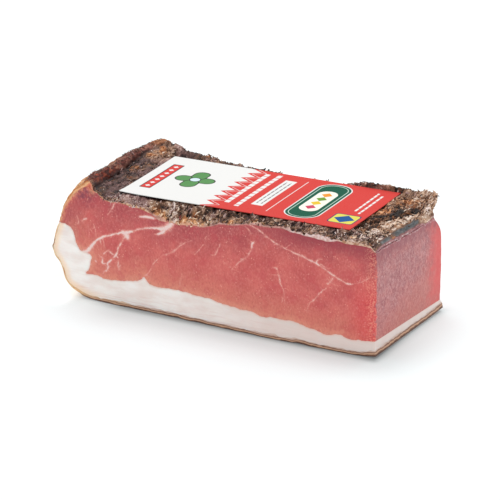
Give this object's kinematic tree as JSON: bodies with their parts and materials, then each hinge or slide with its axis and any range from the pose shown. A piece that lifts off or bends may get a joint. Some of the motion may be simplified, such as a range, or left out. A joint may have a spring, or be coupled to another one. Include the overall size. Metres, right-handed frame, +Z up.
{
  "type": "speck ham",
  "caption": "Cut block of cured smoked ham with a spiced crust, a layer of fat with its rind, and a printed card lying on top.",
  "frame": {"origin": "middle of the underside, on the surface that the block rests on", "axes": "+X along the block towards its plain cut end, +Y from the long front cut to the back, +Z up"},
  "size_m": [0.2526, 0.102, 0.0881],
  "materials": {
    "lean": "moist",
    "fat": "satin",
    "label": "satin"
  },
  "bodies": {
    "root": {"lean": "lean", "fat": "fat", "label": "label"}
  },
  "joints": []
}
